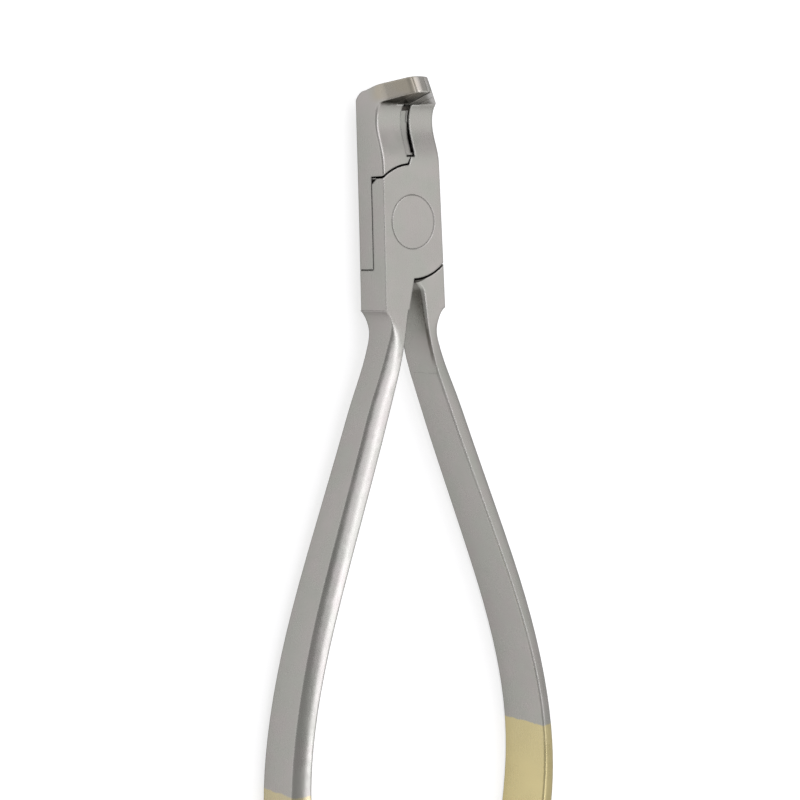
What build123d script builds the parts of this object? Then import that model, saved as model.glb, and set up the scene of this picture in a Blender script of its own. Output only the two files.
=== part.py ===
from build123d import *
import os

# Pliers for cutting orthodontic wire across its end: two crossed levers in a lap joint, with hooked jaws.
# Millimetres. The pliers lie on their back, with +X to the right, +Y along the tool towards the jaws and
# +Z up out of the front. The origin is on the joint's axis, at the flat back face of the head.
# The front lever has the left handle, the front half of the lap and the right jaw.
# The rear lever has the right handle, the rear half of the lap and the left jaw.

# Head
head_depth = 6.6
head_half_width = 5.75
left_shoulder_half_width = 5.85
right_shoulder_half_width = 6.3
shoulder_y = -13.7
front_edge_round = 0.4
back_edge_round = 0.3

# Lap joint
lap_height = 3.5
lap_gap = 0.04
front_disc_radius = 8.83
rear_disc_radius = 9.25
front_seam_gap = 0.32
rear_seam_gap = 0.16
lap_notch_length = 0.95
lap_notch_height = 1.35
lap_notch_depth = 0.7
lap_groove_depth = 0.14
lap_groove_height = 0.16
corner_run = 0.55
corner_rise = 1.1
crotch_start = 0.06
crotch_middle_x = 0.85
crotch_middle_y = -12.2
crotch_bevel = 0.5
crotch_hollow_line = [
    (0.02, -8.8),
    (0.35, -9.4),
    (1.18, -10.3),
    (1.65, -11.8),
    (2.02, -14.4),
    (2.4, -17.2),
    (2.84, -19.5),
    (3.36, -21.8),
    (3.98, -24.1),
]

# Joint rivet
rivet_head_radius = 4.2
rivet_head_height = 1.3
rivet_shank_radius = 2.6
rivet_tail_radius = 3.2
rivet_tail_height = 0.9
running_gap = 0.04

# Jaws, as seen from the side
jaw_back_y = 18.7
jaw_back_round_y = 19.98
jaw_back_round_z = 1.05
jaw_top_y = 20.5
jaw_top_z = 2.8
jaw_top_slope = 0.223
relief_start_y = 8.6
relief_low_y = 15.6
relief_depth = 1.45
relief_start_reach = 2.9
relief_low_reach = 2.4
relief_high_reach = 1.6
crease_reach = 0.7
underside_y = 18.4
underside_z = 6.5
underside_slope = 0.265
jaw_close_gap = 0.02

# Hook, as seen from the top
left_shoulder_z = 5.3
left_nose_x = -2.4
right_shoulder_z = 4.3
right_nose_x = 0.4
hook_nose_z = 10.4
hook_lean = 0.458
hook_plan_y = 22.1
hook_shoulder_round = 3.5
hook_nose_round = 2.1

# Slot between the jaws
slot_half_width = 0.85
slot_root_room = 0.85
slot_end_y = 18.2

# Cutting inserts
insert_width = 2.3
insert_seat_z = 5.6
insert_edge_chamfer = 0.25

# Wire holder, on the left jaw's side of the slot
leaf_low_z = 1.6
leaf_sink = 0.3
leaf_root_room = 1.15
leaf_foot_x = 0.62
leaf_foot_width = 0.35
leaf_root_x = 0.3
leaf_bend_room = 2.6
leaf_tip_x = 0.72
pad_seat_x = 0.45
pad_face_x = 0.76
pad_start_y = 15.6
leaf_end_room = 0.85
holder_rivet_room = 1.6
holder_rivet_z = 3.2
holder_rivet_radius = 0.5
holder_rivet_head_radius = 0.8
holder_rivet_head_height = 0.2
holder_rivet_length = 2.2

# Handles. Each station has its share of the handle's length, the inner face's distance from the middle
# plane, the thickness, half the depth of the inner and outer faces, and how far the flanks swell out.
handle_length = 92.8
handle_stations = [
    (0.000, 1.16, 4.79, 3.30, 3.24, 1.00),
    (0.009, 1.32, 3.88, 3.30, 3.22, 1.00),
    (0.020, 1.53, 3.22, 3.32, 3.12, 1.00),
    (0.034, 1.80, 2.84, 3.38, 2.82, 0.85),
    (0.063, 2.45, 2.86, 3.50, 2.52, 0.60),
    (0.095, 3.38, 3.02, 3.66, 2.48, 0.50),
    (0.143, 5.00, 3.38, 3.81, 2.50, 0.50),
    (0.219, 7.66, 3.52, 4.00, 2.63, 0.50),
    (0.316, 11.23, 3.46, 4.24, 2.85, 0.50),
    (0.424, 15.23, 3.38, 4.50, 3.05, 0.50),
    (0.531, 18.94, 3.20, 4.70, 3.26, 0.50),
    (0.639, 21.95, 2.95, 4.87, 3.46, 0.50),
    (0.736, 23.65, 2.88, 5.00, 3.60, 0.50),
    (0.822, 24.02, 3.08, 5.10, 3.68, 0.50),
    (0.908, 23.20, 3.36, 5.12, 3.70, 0.50),
    (1.000, 21.45, 3.50, 5.10, 3.70, 0.50),
]
handle_inner_edge_bevel = 0.3
handle_end_round = 3.6
handle_end_half_depth = 5.08

# Derived places
edge_margin = 0.05
middle_z = head_depth / 2
front_half_z = lap_height + lap_gap
block_height = 4 * head_depth
lap_notch_y = (front_disc_radius**2 - head_half_width**2) ** 0.5 + edge_margin
lap_side_y = (rear_disc_radius**2 - head_half_width**2) ** 0.5
relief_low_z = head_depth - relief_depth
handle_end_y = shoulder_y - handle_length
shoulder_inner = handle_stations[0][1]
jaw_end_y = hook_plan_y + head_depth
over_nose_z = head_depth * 2
half_outside = handle_length
under_slope_end_y = underside_y + underside_slope * (over_nose_z - underside_z)
top_slope_end_y = jaw_top_y + jaw_top_slope * (over_nose_z - jaw_top_z)
insert_middle_x = (jaw_close_gap + insert_width) / 2
insert_length = jaw_end_y - slot_end_y
insert_height = over_nose_z - insert_seat_z
slot_start_y = rear_disc_radius + slot_root_room
leaf_start_y = rear_disc_radius + leaf_root_room
leaf_bend_y = leaf_start_y + leaf_bend_room
holder_rivet_y = leaf_start_y + holder_rivet_room
leaf_end_y = slot_end_y - leaf_end_room
front_side = -1
rear_side = 1

os.makedirs("parts", exist_ok=True)


def hook_outline(y):
    """Outline of the jaws from the top at one height. Lower down it reaches further forward."""
    forward = hook_lean * (hook_plan_y - y)
    nose_z = hook_nose_z + forward
    with BuildSketch(Plane.XZ.offset(-y)) as outline:
        with BuildLine():
            Polyline(
                (-head_half_width, -head_depth),
                (-head_half_width, left_shoulder_z + forward),
                (left_nose_x, nose_z),
                (right_nose_x, nose_z),
                (head_half_width, right_shoulder_z + forward),
                (head_half_width, -head_depth),
                close=True,
            )
        make_face()
        fillet(outline.vertices().group_by(Axis.Y)[1:3], hook_shoulder_round)
        fillet(outline.vertices().group_by(Axis.Y)[-1], hook_nose_round)
    return outline.sketch


def handle_section(side, station):
    """Section across a handle: a bevelled flat inner face, a narrower outer face and rounded flanks."""
    share, inner, thickness, inner_half, outer_half, swell = station
    outer = inner + thickness
    bevel_x = side * (inner + handle_inner_edge_bevel)
    bevel_z = inner_half - handle_inner_edge_bevel
    swell_x = side * (inner + outer + swell * thickness) / 2
    swell_z = (inner_half + outer_half + swell * (inner_half - outer_half)) / 2
    section_plane = Plane(
        origin=(0, shoulder_y - share * handle_length, middle_z), x_dir=(1, 0, 0), z_dir=(0, -1, 0)
    )
    with BuildSketch(section_plane) as section:
        with BuildLine():
            Polyline(
                (bevel_x, -inner_half),
                (side * inner, -bevel_z),
                (side * inner, bevel_z),
                (bevel_x, inner_half),
            )
            Bezier((bevel_x, inner_half), (swell_x, swell_z), (side * outer, outer_half))
            Line((side * outer, outer_half), (side * outer, -outer_half))
            Bezier((side * outer, -outer_half), (swell_x, -swell_z), (bevel_x, -inner_half))
        make_face()
    return section.sketch


def make_handle(side):
    """The handle from the shoulder to its rounded end, to the right for side 1 and the left for side -1."""
    with BuildPart() as handle:
        for station in handle_stations:
            add(handle_section(side, station))
        loft()
        with BuildSketch(Plane.YZ.offset(-half_outside)) as end_outline:
            with Locations(((shoulder_y + handle_end_y) / 2, middle_z)):
                Rectangle(handle_length, 2 * handle_end_half_depth)
            fillet(end_outline.vertices().group_by(Axis.X)[0], handle_end_round)
        extrude(amount=2 * half_outside, mode=Mode.INTERSECT)
    return handle.part


# The jaws' form from the top, as a slanted block over a plain one for the head
with BuildPart() as hook_form:
    add(hook_outline(relief_start_y))
    add(hook_outline(jaw_end_y))
    loft(ruled=True)
    with BuildSketch(Plane.XY.offset(-head_depth)):
        with Locations((0, (relief_start_y + shoulder_y) / 2)):
            Rectangle(2 * half_outside, relief_start_y - shoulder_y)
    extrude(amount=block_height)


def head_outline(inset):
    """Outline of the head from the front, with its sides moved in by the inset."""
    with BuildSketch() as outline:
        with BuildLine():
            Polyline(
                (-left_shoulder_half_width + inset, shoulder_y),
                (-head_half_width + inset, 0),
                (-head_half_width + inset, jaw_end_y),
                (head_half_width - inset, jaw_end_y),
                (head_half_width - inset, relief_start_y),
                (right_shoulder_half_width - inset, shoulder_y),
                close=True,
            )
        make_face()
    return outline.sketch


def on_side_face(edge):
    """Whether an edge lies on one of the head's two side faces."""
    return abs(edge.center().X) > head_half_width - edge_margin


def is_long_edge(edge):
    """Whether an edge of the head runs along the tool between the shoulder and the hook."""
    return shoulder_y + edge_margin < edge.center().Y < underside_y


# The head and both jaws as one block, as they are ground together, before the hook is formed
with BuildPart() as head_block:
    with BuildSketch(Plane.YZ.offset(-half_outside)):
        with BuildLine():
            Line((shoulder_y, 0), (jaw_back_y, 0))
            ThreePointArc((jaw_back_y, 0), (jaw_back_round_y, jaw_back_round_z), (jaw_top_y, jaw_top_z))
            Line((jaw_top_y, jaw_top_z), (top_slope_end_y, over_nose_z))
            Line((top_slope_end_y, over_nose_z), (under_slope_end_y, over_nose_z))
            Line((under_slope_end_y, over_nose_z), (underside_y, underside_z))
            Bezier(
                (underside_y, underside_z),
                (underside_y - crease_reach * underside_slope, underside_z - crease_reach),
                (relief_low_y + relief_high_reach, relief_low_z),
                (relief_low_y, relief_low_z),
            )
            Bezier(
                (relief_low_y, relief_low_z),
                (relief_low_y - relief_low_reach, relief_low_z),
                (relief_start_y + relief_start_reach, head_depth),
                (relief_start_y, head_depth),
            )
            Line((relief_start_y, head_depth), (shoulder_y, head_depth))
            Line((shoulder_y, head_depth), (shoulder_y, 0))
        make_face()
    extrude(amount=2 * half_outside)
    with BuildSketch(Plane.XY.offset(-head_depth)):
        add(head_outline(0))
    extrude(amount=block_height, mode=Mode.INTERSECT)


def rounded_block(least_x):
    """The block cut to the hook's form, with rounded back edges and rounded front edges right of a place."""
    with BuildPart() as block:
        add(head_block.part)
        side_edges = block.edges().filter_by(on_side_face).filter_by(is_long_edge)
        front_edges = side_edges.filter_by(lambda edge: edge.center().Z > middle_z)
        fillet(front_edges.filter_by(lambda edge: edge.center().X > least_x), front_edge_round)
        side_edges = block.edges().filter_by(on_side_face)
        fillet(side_edges.filter_by(lambda edge: edge.center().Z < edge_margin), back_edge_round)
        add(hook_form.part, mode=Mode.INTERSECT)
    return block.part


# The front lever's left edge stays sharp beside the lap, and the left jaw's front edge is rounded
front_block = rounded_block(0)
rear_block = rounded_block(-half_outside)


def other_corners(side):
    """The two corners of the head that the lever with its handle on this side leaves to the other lever."""
    with BuildSketch() as corners:
        with BuildLine():
            Polyline(
                (-side * jaw_close_gap / 2, 0),
                (-side * jaw_close_gap / 2, jaw_end_y),
                (side * half_outside, jaw_end_y),
                (side * half_outside, 0),
                close=True,
            )
        make_face()
        with BuildLine():
            Polyline(
                (side * crotch_start, 0),
                (side * crotch_start, -front_disc_radius),
                (side * crotch_middle_x, crotch_middle_y),
                (side * shoulder_inner, shoulder_y),
                (-side * half_outside, shoulder_y),
                (-side * half_outside, 0),
                close=True,
            )
        make_face()
    return corners.sketch


def lap_disc(side, radius, room):
    """Outline of a lap half: a round end with a small point between the jaws, grown by the room round it."""
    end = radius + room
    with BuildSketch() as disc:
        Circle(end)
        with BuildLine():
            Polyline(
                (0, end - corner_run),
                (0, end + corner_rise),
                (side * (corner_run + room), end - corner_run / 4),
                close=True,
            )
        make_face()
    return disc.sketch


def on_cutting_line(edge):
    """Whether an edge of an insert lies on the outside along the line where the two inserts meet."""
    middle = edge.center()
    return (
        abs(middle.X) < jaw_close_gap
        and middle.Y > slot_end_y + edge_margin
        and middle.Z > insert_seat_z + edge_margin
    )


def hollow_outline(bevel):
    """Area to the left of the crotch's hollow, widened by a bevel that runs out towards the handle."""
    start_y = crotch_hollow_line[0][1]
    end_y = crotch_hollow_line[-1][1]
    line = [(x + bevel * (y - end_y) / (start_y - end_y), y) for x, y in crotch_hollow_line]
    with BuildSketch() as area:
        with BuildLine():
            Spline(*line)
            Polyline(line[-1], (-head_half_width, end_y), (-head_half_width, start_y), line[0])
        make_face()
        Circle(rear_disc_radius, mode=Mode.SUBTRACT)
    return area.sketch


# Cutting insert of the left hook, ground flush with it
with BuildPart() as left_cutting_insert:
    add(rear_block)
    with Locations((-insert_middle_x, slot_end_y + insert_length / 2, insert_seat_z + insert_height / 2)):
        Box(insert_width, insert_length, insert_height, mode=Mode.INTERSECT)
    chamfer(left_cutting_insert.edges().filter_by(on_cutting_line), insert_edge_chamfer)
left_cutting_insert.part.label = "left_cutting_insert"
export_step(left_cutting_insert.part, "parts/left_cutting_insert.step")

# Cutting insert of the right hook
with BuildPart() as right_cutting_insert:
    add(front_block)
    with Locations((insert_middle_x, slot_end_y + insert_length / 2, insert_seat_z + insert_height / 2)):
        Box(insert_width, insert_length, insert_height, mode=Mode.INTERSECT)
    chamfer(right_cutting_insert.edges().filter_by(on_cutting_line), insert_edge_chamfer)
right_cutting_insert.part.label = "right_cutting_insert"
export_step(right_cutting_insert.part, "parts/right_cutting_insert.step")

# Lever with the left handle, the front half of the lap and the right jaw
with BuildPart() as front_lever:
    add(front_block)
    # Its own half of the lap, rounded off where the other lever stands
    with BuildSketch(Plane.XY.offset(front_half_z)):
        add(other_corners(front_side))
        add(lap_disc(front_side, front_disc_radius, 0), mode=Mode.SUBTRACT)
    extrude(amount=block_height, mode=Mode.SUBTRACT)
    # The pocket behind it for the rear lever's half
    with BuildSketch(Plane.XY.offset(front_half_z)):
        add(other_corners(front_side))
        add(lap_disc(rear_side, rear_disc_radius, rear_seam_gap))
    extrude(amount=-block_height, mode=Mode.SUBTRACT)
    # Half of the slot between the jaws
    with BuildSketch(Plane.XY.offset(-head_depth)):
        with Locations((slot_half_width / 2, (slot_start_y + slot_end_y) / 2)):
            Rectangle(slot_half_width, slot_end_y - slot_start_y)
    extrude(amount=block_height, mode=Mode.SUBTRACT)
    add(make_handle(front_side))
    add(right_cutting_insert.part, mode=Mode.SUBTRACT)
    # Bore and countersunk seat for the joint rivet
    with BuildSketch(Plane.XY.offset(-head_depth)):
        Circle(rivet_shank_radius + running_gap)
    extrude(amount=block_height, mode=Mode.SUBTRACT)
    with BuildSketch(Plane.XY.offset(head_depth - rivet_head_height - running_gap)):
        Circle(rivet_head_radius + running_gap)
    extrude(amount=head_depth, mode=Mode.SUBTRACT)
    # Notch at the lap's upper end on the left side
    with BuildSketch(Plane.YZ.offset(-head_half_width)):
        with BuildLine():
            Polyline(
                (lap_notch_y, front_half_z),
                (lap_notch_y, front_half_z + lap_notch_height),
                (lap_notch_y - lap_notch_length, front_half_z),
                close=True,
            )
        make_face()
    extrude(amount=lap_notch_depth, mode=Mode.SUBTRACT)
    # Fine groove along the lap on both side faces
    with BuildSketch(Plane.XY.offset(front_half_z)):
        Rectangle(2 * half_outside, 2 * lap_side_y)
        add(head_outline(lap_groove_depth), mode=Mode.SUBTRACT)
    extrude(amount=lap_groove_height, mode=Mode.SUBTRACT)
front_lever.part.label = "front_lever"
export_step(front_lever.part, "parts/front_lever.step")

# Lever with the right handle, the rear half of the lap and the left jaw
with BuildPart() as rear_lever:
    add(rear_block)
    # Its own half of the lap, rounded off where the other lever stands
    with BuildSketch(Plane.XY.offset(lap_height)):
        add(other_corners(rear_side))
        add(lap_disc(rear_side, rear_disc_radius, 0), mode=Mode.SUBTRACT)
    extrude(amount=-block_height, mode=Mode.SUBTRACT)
    # The pocket in front of it for the front lever's half
    with BuildSketch(Plane.XY.offset(lap_height)):
        add(other_corners(rear_side))
        add(lap_disc(front_side, front_disc_radius, front_seam_gap))
    extrude(amount=block_height, mode=Mode.SUBTRACT)
    # Half of the slot between the jaws
    with BuildSketch(Plane.XY.offset(-head_depth)):
        with Locations((-slot_half_width / 2, (slot_start_y + slot_end_y) / 2)):
            Rectangle(slot_half_width, slot_end_y - slot_start_y)
    extrude(amount=block_height, mode=Mode.SUBTRACT)
    add(make_handle(rear_side))
    add(left_cutting_insert.part, mode=Mode.SUBTRACT)
    # Bore and seat for the joint rivet's shank and tail
    with BuildSketch(Plane.XY.offset(-head_depth)):
        Circle(rivet_shank_radius)
    extrude(amount=block_height, mode=Mode.SUBTRACT)
    with BuildSketch(Plane.XY.offset(-head_depth)):
        Circle(rivet_tail_radius)
    extrude(amount=head_depth + rivet_tail_height, mode=Mode.SUBTRACT)
    # Hollow ground into the root of the handle in the crotch, with a bevelled edge in front
    with BuildSketch(Plane.XY.offset(-head_depth)):
        add(hollow_outline(0))
    extrude(amount=block_height, mode=Mode.SUBTRACT)
    with BuildSketch(Plane.XY.offset(head_depth - crotch_bevel)):
        add(hollow_outline(0))
    with BuildSketch(Plane.XY.offset(head_depth + crotch_bevel)):
        add(hollow_outline(2 * crotch_bevel))
    loft(ruled=True, mode=Mode.SUBTRACT)
    # Blind hole for the holder's rivet
    with BuildSketch(Plane.YZ):
        with Locations((holder_rivet_y, holder_rivet_z)):
            Circle(holder_rivet_radius)
    extrude(amount=-slot_half_width - holder_rivet_length, mode=Mode.SUBTRACT)
rear_lever.part.label = "rear_lever"
export_step(rear_lever.part, "parts/rear_lever.step")

# Rivet that the levers turn on: flush head in front, shank, and tail peened into the rear lever
with BuildPart() as joint_rivet:
    with BuildSketch(Plane.XZ):
        with BuildLine():
            Polyline(
                (0, 0),
                (rivet_tail_radius, 0),
                (rivet_tail_radius, rivet_tail_height),
                (rivet_shank_radius, rivet_tail_height),
                (rivet_shank_radius, head_depth - rivet_head_height),
                (rivet_head_radius, head_depth - rivet_head_height),
                (rivet_head_radius, head_depth),
                (0, head_depth),
                close=True,
            )
        make_face()
    revolve(axis=Axis.Z)
joint_rivet.part.label = "joint_rivet"
export_step(joint_rivet.part, "parts/joint_rivet.step")

# Leaf in the slot, fixed to the left jaw, which holds the cut end of the wire
with BuildPart() as holder_leaf:
    add(rear_block.moved(Location((0, 0, -leaf_sink))))
    with BuildSketch(Plane.XY.offset(leaf_low_z)):
        with BuildLine():
            Polyline(
                (-slot_half_width, leaf_start_y),
                (-slot_half_width, leaf_end_y),
                (pad_seat_x, leaf_end_y),
                (pad_seat_x, pad_start_y),
                (leaf_tip_x, pad_start_y),
                (leaf_root_x, leaf_bend_y),
                (leaf_root_x, leaf_start_y + leaf_foot_width),
                (leaf_foot_x, leaf_start_y + leaf_foot_width),
                (leaf_foot_x, leaf_start_y),
                close=True,
            )
        make_face()
    extrude(amount=head_depth, mode=Mode.INTERSECT)
    with BuildSketch(Plane.YZ.offset(-head_half_width)):
        with Locations((holder_rivet_y, holder_rivet_z)):
            Circle(holder_rivet_radius)
    extrude(amount=2 * head_half_width, mode=Mode.SUBTRACT)
holder_leaf.part.label = "holder_leaf"
export_step(holder_leaf.part, "parts/holder_leaf.step")

# Pad on the leaf's free end, which the wire is held against
with BuildPart() as holder_pad:
    add(rear_block.moved(Location((0, 0, -leaf_sink))))
    with BuildSketch(Plane.XY.offset(leaf_low_z)):
        with Locations(((pad_seat_x + pad_face_x) / 2, (pad_start_y + leaf_end_y) / 2)):
            Rectangle(pad_face_x - pad_seat_x, leaf_end_y - pad_start_y)
    extrude(amount=head_depth, mode=Mode.INTERSECT)
holder_pad.part.label = "holder_pad"
export_step(holder_pad.part, "parts/holder_pad.step")

# Rivet through the leaf into the left jaw
with BuildPart() as holder_rivet:
    with BuildSketch(Plane.YZ.offset(leaf_root_x)):
        with Locations((holder_rivet_y, holder_rivet_z)):
            Circle(holder_rivet_head_radius)
    extrude(amount=holder_rivet_head_height)
    with BuildSketch(Plane.YZ.offset(leaf_root_x)):
        with Locations((holder_rivet_y, holder_rivet_z)):
            Circle(holder_rivet_radius)
    extrude(amount=-leaf_root_x - slot_half_width - holder_rivet_length)
holder_rivet.part.label = "holder_rivet"
export_step(holder_rivet.part, "parts/holder_rivet.step")
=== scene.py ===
"""Orthodontic end-cutting pliers: finishes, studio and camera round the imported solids. Metres, CAD frame."""

import bmesh
import bpy
from mathutils import Matrix, Vector


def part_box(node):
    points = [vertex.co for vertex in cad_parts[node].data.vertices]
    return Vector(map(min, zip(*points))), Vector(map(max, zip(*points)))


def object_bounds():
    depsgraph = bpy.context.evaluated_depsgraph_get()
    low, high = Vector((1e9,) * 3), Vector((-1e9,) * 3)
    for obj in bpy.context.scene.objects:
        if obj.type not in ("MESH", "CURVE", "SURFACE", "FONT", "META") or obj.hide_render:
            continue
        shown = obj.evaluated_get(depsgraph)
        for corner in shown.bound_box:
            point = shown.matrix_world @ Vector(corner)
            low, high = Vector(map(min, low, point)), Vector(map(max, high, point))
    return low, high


bl_info = {
    "name": "Orthodontic Pliers",
    "version": (1, 0, 0),
    "blender": (4, 5, 0),
    "location": "View3D > Sidebar > Pliers",
    "description": "Dresses the pliers in satin steel and gold-coloured plating and sets up their studio",
    "category": "Object",
}

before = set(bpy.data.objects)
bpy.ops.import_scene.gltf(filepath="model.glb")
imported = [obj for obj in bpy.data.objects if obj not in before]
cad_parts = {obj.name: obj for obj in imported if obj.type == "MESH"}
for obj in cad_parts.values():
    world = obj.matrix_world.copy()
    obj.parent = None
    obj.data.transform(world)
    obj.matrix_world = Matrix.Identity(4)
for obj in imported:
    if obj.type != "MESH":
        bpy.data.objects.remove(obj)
CAD_LOW, CAD_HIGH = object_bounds()
RIVET_HEAD_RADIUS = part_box("joint_rivet")[1][0]

# Colours that lie over the steel
# Painted shade for gaps, creases and the line where the inserts meet
CREVICE_SHADE_COLOUR = (0.03, 0.028, 0.024, 1.0)
# Darker band in the corner of the lower seam
SEAM_DARK_COLOUR = (0.04, 0.036, 0.032, 1.0)
RING_COLOUR = (0.13, 0.112, 0.092, 1.0)
# Painted shade for the hollow at the handles' crotch
HOLLOW_SHADE_COLOUR = (0.12, 0.108, 0.093, 1.0)
# Painted light for the right blade's underside, and painted shade for the left blade's underside
PAINTED_LIGHT_BLADE_COLOUR = (0.80, 0.78, 0.76, 1.0)
BLADE_SHADE_COLOUR = (0.05, 0.046, 0.036, 1.0)
GOLD_EDGE_COLOUR = (0.85, 0.78, 0.50, 1.0)
GLANCING_TINT = (0.42, 0.42, 0.42, 1.0)

# Factors on the steel's own colour
COOL_TINT = (0.955, 1.01, 0.975)
STAIN_TINT = (0.873, 0.90, 0.864)
STRAW_TINT = (1.0, 0.965, 0.84)
# Painted shade: the wire holder's steel is made darker, standing in for the shade of its slot
HOLDER_SHADE_LEVEL = 0.84

# Fineness of the patterns, in features to the metre
CLOUD_SCALE, TINT_SCALE, STAIN_SCALE = 140.0, 230.0, 420.0
GRAIN_SCALE, PIT_SCALE = 9000.0, 16000.0
STRAW_SCALE, RING_SCALE = 260.0, 430.0
PLATING_WEAR_SCALE, PLATING_EDGE_SCALE = 300.0, 700.0
GRAIN_ALONG = (1.0, 0.04, 1.0)
GRAIN_ACROSS = (0.05, 1.0, 1.0)
MOST = (0.30, 0.70)  # most of a noise lies between these values

# Where a layer begins and where it is full. X runs to the right, Y to the jaws' tips and Z to the front.
JAW_EDGES_Y, HANDLE_EDGES_Y = (0.0070, 0.0095), (-0.0150, -0.0260)
STRAW_X, STRAW_Y, STRAW_Z = (-0.0008, -0.0022), (0.0182, 0.0192), (0.0035, 0.0055)
UNDERSIDE_TURN, UNDERSIDE_Y, UNDERSIDE_Z = (-0.80, -0.93), (0.0165, 0.0170), (0.0060, 0.0068)
RIGHT_BLADE_X, LEFT_ROOT_Z, BLADES_MEET_X = (0.0, 0.0001), (0.0102, 0.0076), (0.00026, 0.00014)
HOLLOW_END_Y, HOLLOW_ROOF_Y = (-0.0215, -0.0105), (-0.0090, -0.0093)
HOLLOW_Z, HOLLOW_LEFT_X, HOLLOW_RIGHT_X = (0.0064, 0.0058), (0.0, 0.0003), (0.0050, 0.0042)
SEAM_DARK_X, SEAM_DARK_Y, SEAM_DARK_Z = (0.0004, 0.0026), (-0.0080, -0.0084), (0.0056, 0.0060)
MEETING_LINE_X = (0.00024, 0.00017)
FRONT_FACE_Z = 0.0062

SEAM_RADIUS = 0.00915
SEAM_DARK_WIDTH = 0.00042
SEAM_DARK_BLUR = (-0.00004, 0.00004)
RING_LINE = (0.00011, 0.00004)
# Width round the rivet's head where the painted crevice shade is left out
RING_UNSHADED = (0.00045, 0.00030)
EDGE_RADIUS = 0.0004
CREVICE_REACH = 0.0008
BUMP_HEIGHT = 0.00002
PLATING_RAGGEDNESS = 0.0006
PLATING_BLUR = 0.00012
PLATING_THIN_FROM, PLATING_THIN_TO = 0.0080, 0.0010

# Soft lights overhead: middle, half width at full strength and half width at the end, along X and along Y
TOP_LIGHT_BANDS = ((0.105, 0.05, 0.15), (0.12, 0.34, 0.62))
SIDE_LIGHT_BANDS = ((-0.23, 0.15, 0.25), (0.47, 0.24, 0.42))

# Patches of the surroundings: direction, cosines where each is full and where it ends, and its strength
GLOW = ((0.20, 0.74, 0.64), 0.975, 0.93, 0.45)
DARK_PATCHES = (
    ((0.86, -0.50, 0.09), 0.95, 0.84, 0.34),
    ((-0.58, 0.64, 0.50), 0.965, 0.86, 0.36),
    ((-0.83, 0.52, 0.17), 0.97, 0.88, 0.05),
    ((0.79, 0.55, 0.26), 0.94, 0.86, 0.45),
)
CAMERA_SIDE = ((-0.72, -0.05, 0.69), 0.90, 0.62, 1.0)
WHITE = (1.0, 1.0, 1.0, 1.0)
LIT_COLOUR = (0.985, 0.975, 1.03, 1.0)

FLOOR_SIZE = 2.0
FLOOR_COLOUR = (0.45, 0.45, 0.45, 1.0)
FLOOR_GLOW_IN_CAMERA, FLOOR_GLOW_IN_STEEL = 0.70, 0.52


class SteelProperties(bpy.types.PropertyGroup):
    """Finish of the bare steel."""

    colour: bpy.props.FloatVectorProperty(
        name="Colour", description="Reflected colour of the satin steel", subtype="COLOR",
        size=3, min=0, max=1, default=(0.435, 0.412, 0.395),
    )
    roughness: bpy.props.FloatProperty(
        name="Roughness", description="Roughness of the satin finish", subtype="FACTOR",
        min=0, max=1, default=0.27,
    )
    insert_roughness: bpy.props.FloatProperty(
        name="Insert Roughness", description="Roughness of the ground cutting inserts", subtype="FACTOR",
        min=0, max=1, default=0.24,
    )
    holder_roughness: bpy.props.FloatProperty(
        name="Holder Roughness", description="Roughness of the wire holder's spring steel", subtype="FACTOR",
        min=0, max=1, default=0.36,
    )
    edge_colour: bpy.props.FloatVectorProperty(
        name="Edge Colour", description="Colour of edges that handling has polished", subtype="COLOR",
        size=3, min=0, max=1, default=(0.62, 0.61, 0.59),
    )


class PlatingProperties(bpy.types.PropertyGroup):
    """Gold-coloured plating on the handle ends."""

    colour: bpy.props.FloatVectorProperty(
        name="Colour", description="Reflected colour of the plating", subtype="COLOR",
        size=3, min=0, max=1, default=(0.65, 0.56, 0.30),
    )
    left_start: bpy.props.FloatProperty(
        name="Left Start", description="Where the plating starts along the left handle", unit="LENGTH",
        default=-0.0864, precision=4,
    )
    right_start: bpy.props.FloatProperty(
        name="Right Start", description="Where the plating starts along the right handle", unit="LENGTH",
        default=-0.0845, precision=4,
    )
    left_wear: bpy.props.FloatProperty(
        name="Left Wear", description="How much of the left plating is worn away", subtype="FACTOR",
        min=0, max=0.7, default=0.34,
    )
    right_wear: bpy.props.FloatProperty(
        name="Right Wear", description="How much of the right plating is worn away", subtype="FACTOR",
        min=0, max=0.7, default=0.08,
    )


class StudioProperties(bpy.types.PropertyGroup):
    """Camera and light."""

    eye: bpy.props.FloatVectorProperty(
        name="Eye", description="Place of the camera", subtype="XYZ", unit="LENGTH", size=3,
        default=(-0.186587, -0.001735, 0.236730), precision=5,
    )
    target: bpy.props.FloatVectorProperty(
        name="Target", description="Point in the middle of the picture", subtype="XYZ", unit="LENGTH", size=3,
        default=(-0.000597, -0.028131, 0.002826), precision=5,
    )
    upright: bpy.props.FloatVectorProperty(
        name="Upright", description="Direction that is upright in the picture", subtype="DIRECTION", size=3,
        default=(0.07565, 0.99579, -0.05223), precision=5,
    )
    lens: bpy.props.FloatProperty(
        name="Lens", description="Focal length in millimetres", min=10, max=300, default=84.89,
    )
    top_light: bpy.props.FloatProperty(
        name="Top Light", description="Brightness of the soft light above the pliers",
        min=0, max=20, default=2.4,
    )
    side_light: bpy.props.FloatProperty(
        name="Side Light", description="Brightness of the weaker light beside it",
        min=0, max=20, default=0.85,
    )
    surroundings: bpy.props.FloatProperty(
        name="Surroundings", description="Brightness of the white surroundings", min=0, max=2, default=1.0,
    )
    shade: bpy.props.FloatProperty(
        name="Shade", description="Brightness of the darker side that the camera stands on",
        min=0, max=2, default=0.42,
    )


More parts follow.
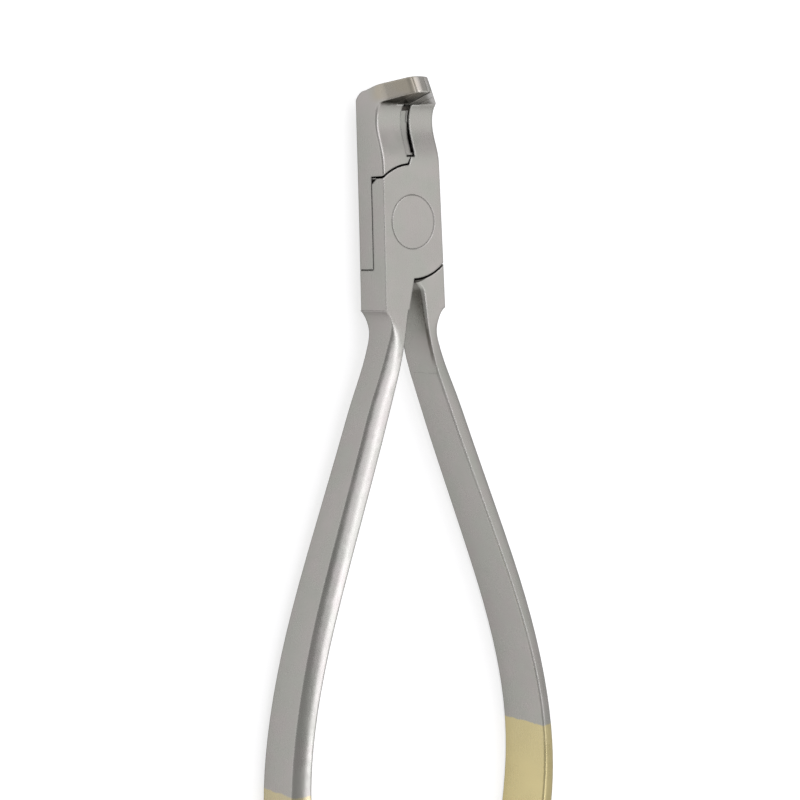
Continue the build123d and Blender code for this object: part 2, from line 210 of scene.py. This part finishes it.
class NodeBuilder:
    """Short ways to add and join shader nodes in one empty tree."""

    def __init__(self, tree):
        self.nodes = tree.nodes
        self.links = tree.links
        self.nodes.clear()

    def add(self, kind, inputs=None, **settings):
        node = self.nodes.new(kind)
        for name, value in settings.items():
            setattr(node, name, value)
        for name, value in (inputs or {}).items():
            if isinstance(value, bpy.types.NodeSocket):
                self.links.new(value, node.inputs[name])
            else:
                node.inputs[name].default_value = value
        return node

    def math(self, operation, a, b=0.0, clamp=False):
        return self.add("ShaderNodeMath", {0: a, 1: b}, operation=operation, use_clamp=clamp).outputs[0]

    def product(self, value, *factors):
        for factor in factors:
            value = self.math("MULTIPLY", value, factor)
        return value

    def rest_of(self, value):
        return self.math("SUBTRACT", 1.0, value)

    def away_from(self, middle, value):
        return self.math("ABSOLUTE", self.math("SUBTRACT", value, middle))

    def split(self, vector):
        return self.add("ShaderNodeSeparateXYZ", {"Vector": vector}).outputs

    def dot(self, a, b):
        return self.add("ShaderNodeVectorMath", {0: a, 1: b}, operation="DOT_PRODUCT").outputs["Value"]

    def noise(self, vector, scale, detail=3.0, roughness=0.55):
        inputs = {"Vector": vector, "Scale": scale, "Detail": detail, "Roughness": roughness}
        return self.add("ShaderNodeTexNoise", inputs).outputs["Fac"]

    def fade(self, value, limits, low=0.0, high=1.0, smooth=False):
        """Goes from low to high while the value goes from the first limit to the second."""
        inputs = {"Value": value, "From Min": limits[0], "From Max": limits[1], "To Min": low, "To Max": high}
        kind = "SMOOTHSTEP" if smooth else "LINEAR"
        return self.add("ShaderNodeMapRange", inputs, interpolation_type=kind).outputs["Result"]

    def mix(self, factor, a, b):
        return self.add("ShaderNodeMix", {0: factor, 6: a, 7: b}, data_type="RGBA").outputs[2]


def new_material(name):
    material = bpy.data.materials.new(name)
    material.use_nodes = True
    return material


def tinted(colour, factors):
    """The colour with each channel times its own factor."""
    return (*(channel * factor for channel, factor in zip(colour, factors)), 1.0)


def levelled(colour, level=1.0):
    """The colour at that brightness."""
    return tinted(colour, (level, level, level))


class SteelFinish(NodeBuilder):
    """Blasted and brushed steel with fine grain, cloudy roughness and lighter edges, under further layers."""

    def __init__(self, name, colour, roughness, edge_colour, grain_turn):
        self.material = new_material(name)
        super().__init__(self.material.node_tree)
        self.colour = colour
        self.place = self.add("ShaderNodeTexCoord").outputs["Object"]
        self.x, self.y, self.z = self.split(self.place)
        turned = self.add("ShaderNodeMapping", {"Vector": self.place, "Scale": grain_turn}).outputs["Vector"]
        self.clouds = self.noise(self.place, CLOUD_SCALE, 2.0)
        self.grain = self.noise(turned, GRAIN_SCALE, 2.0)
        self.tone = self.mix(self.fade(self.clouds, MOST), levelled(colour, 0.96), levelled(colour, 1.04))
        self.lay(self.fade(self.noise(self.place, TINT_SCALE, 1.5), (0.35, 0.65)), tinted(colour, COOL_TINT))
        stains = self.noise(self.place, STAIN_SCALE, 4.0, 0.6)
        self.lay(self.fade(stains, (0.56, 0.72), 0.0, 0.25), tinted(colour, STAIN_TINT))
        self.lay(self.fade(self.grain, MOST, 0.0, 0.06), levelled(colour, 1.18))
        self.polish_edges(edge_colour)
        uneven = self.math("ADD", self.product(self.clouds, 0.6), self.product(self.grain, 0.4))
        self.rough = self.fade(uneven, (0.35, 0.65), roughness - 0.04, roughness + 0.05)
        self.crevice_shade_lifted = None

    def lay(self, amount, colour):
        """Lays a colour over the tone, as strongly as the amount says."""
        self.tone = self.mix(amount, self.tone, colour)

    def from_axis(self):
        """Distance from the joint's axis."""
        level = self.add("ShaderNodeVectorMath", {0: self.place, 1: (1.0, 1.0, 0.0)}, operation="MULTIPLY")
        return self.add("ShaderNodeVectorMath", {0: level.outputs[0]}, operation="LENGTH").outputs["Value"]

    def polish_edges(self, edge_colour):
        """Rounds the edges' shading and lightens them, more where hands and wire touch them."""
        rounded = self.add("ShaderNodeBevel", {"Radius": EDGE_RADIUS}, samples=6)
        flat = self.add("ShaderNodeNewGeometry")
        self.soft_normal = rounded.outputs["Normal"]
        self.wear = self.fade(self.dot(self.soft_normal, flat.outputs["Normal"]), (0.995, 0.80))
        touched = self.math("MAXIMUM", self.fade(self.y, JAW_EDGES_Y), self.fade(self.y, HANDLE_EDGES_Y))
        self.lay(self.product(self.wear, self.fade(touched, (0.0, 1.0), 0.22, 0.75)), levelled(edge_colour))

    def plate(self, colour, start_y, thin):
        """Plates the steel beyond a ragged line, more thinly near it."""
        ragged = self.math("SUBTRACT", self.noise(self.place, PLATING_EDGE_SCALE, 2.0), 0.5)
        along = self.math("ADD", self.y, self.product(ragged, PLATING_RAGGEDNESS))
        plated = self.fade(along, (start_y + PLATING_BLUR, start_y - PLATING_BLUR))
        gold = self.mix(self.fade(self.clouds, MOST), levelled(colour, 0.95), levelled(colour, 1.05))
        gold = self.mix(self.fade(self.grain, MOST, 0.0, 0.1), gold, levelled(colour, 1.15))
        gold = self.mix(self.product(self.wear, 0.35), gold, GOLD_EDGE_COLOUR)
        near_line = self.fade(along, (start_y - PLATING_THIN_FROM, start_y - PLATING_THIN_TO), 0.12, 1.0)
        worn_off = self.fade(self.noise(self.place, PLATING_WEAR_SCALE, 3.0), MOST, 1.3 * thin, 0.7 * thin)
        self.lay(self.product(plated, self.rest_of(self.product(near_line, worn_off))), gold)

    def tint_hooks(self):
        """Gives the hooks the straw tint of hardened steel, weaker round their nose."""
        hooks = self.product(self.fade(self.y, STRAW_Y), self.fade(self.z, STRAW_Z),
                             self.fade(self.x, STRAW_X, 0.3, 1.0))
        patches = self.fade(self.noise(self.place, STRAW_SCALE, 2.0), (0.35, 0.60), 0.35, 1.0)
        self.lay(self.product(hooks, patches), tinted(self.colour, STRAW_TINT))

    def paint_blade_light_and_shade(self):
        """Paints light on the right blade's underside as a pale tone, and paints shade on the left blade's
        underside near its root and along the line where the blades meet.
        """
        facing_y = self.split(self.add("ShaderNodeNewGeometry").outputs["True Normal"])["Y"]
        rise = self.product(self.fade(self.z, UNDERSIDE_Z), self.fade(self.y, UNDERSIDE_Y))
        under = self.product(self.fade(facing_y, UNDERSIDE_TURN), rise)
        right = self.fade(self.x, RIGHT_BLADE_X)
        root = self.product(self.fade(self.z, LEFT_ROOT_Z), self.rest_of(right), 0.63)
        meeting = self.product(self.fade(self.math("ABSOLUTE", self.x), BLADES_MEET_X), 0.85)
        # Painted light: pale tone on the right blade's underside
        self.lay(self.product(under, right, 0.8), PAINTED_LIGHT_BLADE_COLOUR)
        # Painted shade: dark on the left blade's underside near its root and along the meeting line
        self.lay(self.product(under, self.math("MAXIMUM", root, meeting)), BLADE_SHADE_COLOUR)

    def shade_hollow_and_darken_seam(self):
        """Paints shade into the hollow at the handles' crotch, and darkens a band in the corner of the lower
        seam.
        """
        deep = self.product(self.fade(self.y, HOLLOW_END_Y), self.fade(self.y, HOLLOW_ROOF_Y))
        inside = self.product(self.fade(self.z, HOLLOW_Z), self.fade(self.x, HOLLOW_LEFT_X),
                              self.fade(self.x, HOLLOW_RIGHT_X))
        # Painted shade in the hollow
        self.lay(self.product(deep, inside, 0.40), HOLLOW_SHADE_COLOUR)
        # A darker band along the lower seam, in its corner
        width = self.fade(self.x, SEAM_DARK_X, SEAM_DARK_WIDTH, 0.0)
        seam_band = self.math("SUBTRACT", self.math("ADD", width, SEAM_RADIUS), self.from_axis())
        lower = self.product(self.fade(self.y, SEAM_DARK_Y), self.fade(self.z, SEAM_DARK_Z))
        self.lay(self.product(self.fade(seam_band, SEAM_DARK_BLUR), lower, 0.85), SEAM_DARK_COLOUR)

    def stain_ring(self, radius):
        """Leaves a broken stain round the rivet's head, where the painted crevice shade is left out."""
        away = self.away_from(radius, self.from_axis())
        broken = self.fade(self.noise(self.place, RING_SCALE, 2.0), (0.46, 0.62), 0.0, 0.38)
        in_front = self.math("GREATER_THAN", self.z, FRONT_FACE_Z)
        self.lay(self.product(self.fade(away, RING_LINE), broken, in_front), RING_COLOUR)
        # Round the rivet's head the painted crevice shade is left out
        self.crevice_shade_lifted = self.product(self.fade(away, RING_UNSHADED), in_front, 0.85)

    def shade_meeting_line(self):
        """Paints shade on the line where the two inserts meet."""
        across = self.math("ABSOLUTE", self.x)
        # Painted shade along the meeting line
        self.lay(self.fade(across, MEETING_LINE_X, 0.0, 0.85), CREVICE_SHADE_COLOUR)

    def finish(self):
        """Paints shade into gaps and creases, joins the shader and returns the material."""
        # Painted shade: darker where ambient occlusion finds gaps and creases, less round the rivet's head
        occlusion = self.add("ShaderNodeAmbientOcclusion", {"Distance": CREVICE_REACH}, samples=8)
        crevice_shade = self.product(self.fade(occlusion.outputs["AO"], (0.62, 0.2)), 0.85)
        if self.crevice_shade_lifted is not None:
            crevice_shade = self.product(crevice_shade, self.rest_of(self.crevice_shade_lifted))
        self.lay(crevice_shade, CREVICE_SHADE_COLOUR)
        pits = self.noise(self.place, PIT_SCALE, 1.0)
        bump = self.add("ShaderNodeBump", {
            "Strength": 0.09, "Distance": BUMP_HEIGHT, "Normal": self.soft_normal,
            "Height": self.math("ADD", self.product(self.grain, 0.5), self.product(pits, 0.5)),
        })
        shader = self.add("ShaderNodeBsdfPrincipled", {
            "Base Color": self.tone, "Roughness": self.rough, "Metallic": 1.0,
            "Normal": bump.outputs["Normal"], "Specular Tint": GLANCING_TINT,
        })
        self.add("ShaderNodeOutputMaterial", {"Surface": shader.outputs["BSDF"]})
        return self.material


def satin_steel(name, colour, roughness, edge_colour, grain_turn=GRAIN_ALONG, plating=None, ring_radius=0.0,
                shaded_hollow=False, meeting_line=False):
    """Satin steel, with the layers that the piece asks for."""
    steel = SteelFinish(name, colour, roughness, edge_colour, grain_turn)
    if plating:
        steel.plate(*plating)
    steel.tint_hooks()
    steel.paint_blade_light_and_shade()
    if shaded_hollow:
        steel.shade_hollow_and_darken_seam()
    if ring_radius:
        steel.stain_ring(ring_radius)
    if meeting_line:
        steel.shade_meeting_line()
    return steel.finish()


def dress(node, material):
    """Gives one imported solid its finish."""
    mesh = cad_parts[node].data
    mesh.materials.clear()
    mesh.materials.append(material)


class PLIERS_OT_levers(bpy.types.Operator):
    """Finish both levers in satin steel, with plated handle ends"""

    bl_idname = "pliers.levers"
    bl_label = "Levers"

    def execute(self, context):
        steel = context.scene.pliers_steel
        plating = context.scene.pliers_plating
        for node, start, wear in (
            ("front_lever", plating.left_start, plating.left_wear),
            ("rear_lever", plating.right_start, plating.right_wear),
        ):
            dress(node, satin_steel(
                node + "_satin_steel", steel.colour, steel.roughness, steel.edge_colour,
                plating=(plating.colour, start, wear), ring_radius=RIVET_HEAD_RADIUS,
                # Painted shade in the rear lever's hollow
                shaded_hollow=node == "rear_lever",
            ))
        return {"FINISHED"}


class PLIERS_OT_joint_rivet(bpy.types.Operator):
    """Finish the joint rivet, ground flush with the head"""

    bl_idname = "pliers.joint_rivet"
    bl_label = "Joint Rivet"

    def execute(self, context):
        steel = context.scene.pliers_steel
        dress("joint_rivet", satin_steel(
            "rivet_satin_steel", steel.colour, steel.roughness, steel.edge_colour,
            ring_radius=RIVET_HEAD_RADIUS,
        ))
        return {"FINISHED"}


class PLIERS_OT_cutting_inserts(bpy.types.Operator):
    """Finish the two hard cutting inserts, ground finer than the levers"""

    bl_idname = "pliers.cutting_inserts"
    bl_label = "Cutting Inserts"

    def execute(self, context):
        steel = context.scene.pliers_steel
        finish = satin_steel(
            "insert_ground_steel", steel.colour, steel.insert_roughness, steel.edge_colour,
            grain_turn=GRAIN_ACROSS, meeting_line=True,
        )
        dress("left_cutting_insert", finish)
        dress("right_cutting_insert", finish)
        return {"FINISHED"}


class PLIERS_OT_wire_holder(bpy.types.Operator):
    """Finish the wire holder's leaf, pad and rivet"""

    bl_idname = "pliers.wire_holder"
    bl_label = "Wire Holder"

    def execute(self, context):
        steel = context.scene.pliers_steel
        # Painted shade: the holder's steel is a darker copy, standing in for the shade of the slot it sits in
        darker = [HOLDER_SHADE_LEVEL * level for level in steel.colour]
        finish = satin_steel("holder_shaded_spring_steel", darker, steel.holder_roughness, steel.edge_colour)
        for node in ("holder_leaf", "holder_pad", "holder_rivet"):
            dress(node, finish)
        return {"FINISHED"}


def studio_world(settings):
    """White surroundings with soft lights overhead and a darker side where the camera stands."""
    world = bpy.data.worlds.new("studio")
    world.use_nodes = True
    nodes = NodeBuilder(world.node_tree)
    direction = nodes.add("ShaderNodeTexCoord").outputs["Generated"]
    x, y, z = nodes.split(direction)
    above = nodes.math("GREATER_THAN", z, 0.0)

    def band(coordinate, middle, inner, outer):
        return nodes.fade(nodes.away_from(middle, coordinate), (outer, inner), smooth=True)

    def soft_light(bands, strength):
        across, along = bands
        return nodes.product(band(x, *across), band(y, *along), above, strength)

    def patch(axis, inner, outer, strength):
        facing = nodes.dot(direction, Vector(axis).normalized())
        return nodes.product(nodes.fade(facing, (outer, inner), smooth=True), strength)

    lights = nodes.math("ADD", soft_light(TOP_LIGHT_BANDS, settings.top_light),
                        soft_light(SIDE_LIGHT_BANDS, settings.side_light))
    lights = nodes.math("ADD", lights, patch(*GLOW))
    level = settings.surroundings
    for dark_patch in DARK_PATCHES:
        level = nodes.product(level, nodes.rest_of(patch(*dark_patch)))
    level = nodes.product(level, nodes.fade(patch(*CAMERA_SIDE), (0.0, 1.0), 1.0, settings.shade))
    level = nodes.math("ADD", level, lights)

    # Seen straight on, the surroundings are plain white, and the lights don't show
    path = nodes.add("ShaderNodeLightPath").outputs
    seen = nodes.math("MAXIMUM", path["Is Camera Ray"], path["Is Transmission Ray"])
    strength = nodes.add("ShaderNodeMix", {0: seen, 2: level, 3: 1.0}, data_type="FLOAT").outputs[0]
    lit = nodes.math("MULTIPLY", lights, nodes.rest_of(seen), clamp=True)
    colour = nodes.mix(lit, WHITE, LIT_COLOUR)
    background = nodes.add("ShaderNodeBackground", {"Color": colour, "Strength": strength})
    nodes.add("ShaderNodeOutputWorld", {"Surface": background.outputs["Background"]})
    bpy.context.scene.world = world


def floor_material():
    """White floor that keeps a soft shadow. Steel shows it as an even pale grey."""
    material = new_material("studio_floor")
    nodes = NodeBuilder(material.node_tree)
    path = nodes.add("ShaderNodeLightPath").outputs
    in_camera = nodes.product(path["Is Camera Ray"], FLOOR_GLOW_IN_CAMERA)
    in_steel = nodes.product(path["Is Glossy Ray"], FLOOR_GLOW_IN_STEEL)
    shader = nodes.add("ShaderNodeBsdfPrincipled", {
        "Base Color": FLOOR_COLOUR, "Roughness": 0.9, "Specular IOR Level": 0.0,
        "Emission Color": WHITE, "Emission Strength": nodes.math("ADD", in_camera, in_steel),
    })
    nodes.add("ShaderNodeOutputMaterial", {"Surface": shader.outputs["BSDF"]})
    return material


class PLIERS_OT_studio(bpy.types.Operator):
    """Set up the floor, the light and the camera"""

    bl_idname = "pliers.studio"
    bl_label = "Studio"

    def execute(self, context):
        settings = context.scene.pliers_studio
        studio_world(settings)
        self.add_floor(context)
        self.add_camera(context, settings)
        context.scene.view_settings.view_transform = "Standard"
        return {"FINISHED"}

    def add_floor(self, context):
        shape = bmesh.new()
        bmesh.ops.create_grid(shape, x_segments=1, y_segments=1, size=FLOOR_SIZE)
        bmesh.ops.translate(shape, verts=shape.verts, vec=(0.0, 0.0, CAD_LOW.z))
        mesh = bpy.data.meshes.new("floor")
        shape.to_mesh(mesh)
        shape.free()
        mesh.materials.append(floor_material())
        floor = bpy.data.objects.new("floor", mesh)
        context.scene.collection.objects.link(floor)

    def add_camera(self, context, settings):
        eye, target = Vector(settings.eye), Vector(settings.target)
        back = (eye - target).normalized()
        right = Vector(settings.upright).cross(back).normalized()
        up = back.cross(right)
        camera_data = bpy.data.cameras.new("camera")
        camera_data.lens = settings.lens
        camera_data.clip_start = 0.01
        camera_data.clip_end = 20.0
        camera = bpy.data.objects.new("camera", camera_data)
        camera.matrix_world = Matrix((
            (right.x, up.x, back.x, eye.x),
            (right.y, up.y, back.y, eye.y),
            (right.z, up.z, back.z, eye.z),
            (0.0, 0.0, 0.0, 1.0),
        ))
        context.scene.collection.objects.link(camera)
        context.scene.camera = camera


class PLIERS_PT_panel(bpy.types.Panel):
    """Sidebar panel with the pliers' pieces and finishes"""

    bl_label = "Orthodontic Pliers"
    bl_space_type = "VIEW_3D"
    bl_region_type = "UI"
    bl_category = "Pliers"

    def draw(self, context):
        column = self.layout.column(align=True)
        for operator in OPERATORS:
            column.operator(operator.bl_idname)
        for pointer, group in PROPERTIES.items():
            box = self.layout.box()
            for name in group.__annotations__:
                box.prop(getattr(context.scene, pointer), name)


PROPERTIES = {
    "pliers_steel": SteelProperties,
    "pliers_plating": PlatingProperties,
    "pliers_studio": StudioProperties,
}
OPERATORS = (
    PLIERS_OT_levers,
    PLIERS_OT_joint_rivet,
    PLIERS_OT_cutting_inserts,
    PLIERS_OT_wire_holder,
    PLIERS_OT_studio,
)
CLASSES = (*PROPERTIES.values(), *OPERATORS, PLIERS_PT_panel)


def register():
    for cls in CLASSES:
        bpy.utils.register_class(cls)
    for pointer, group in PROPERTIES.items():
        setattr(bpy.types.Scene, pointer, bpy.props.PointerProperty(type=group))


def unregister():
    for pointer in reversed(PROPERTIES):
        delattr(bpy.types.Scene, pointer)
    for cls in reversed(CLASSES):
        bpy.utils.unregister_class(cls)


def main():
    register()
    bpy.ops.pliers.levers()
    bpy.ops.pliers.joint_rivet()
    bpy.ops.pliers.cutting_inserts()
    bpy.ops.pliers.wire_holder()
    bpy.ops.pliers.studio()


if __name__ == "__main__":
    main()
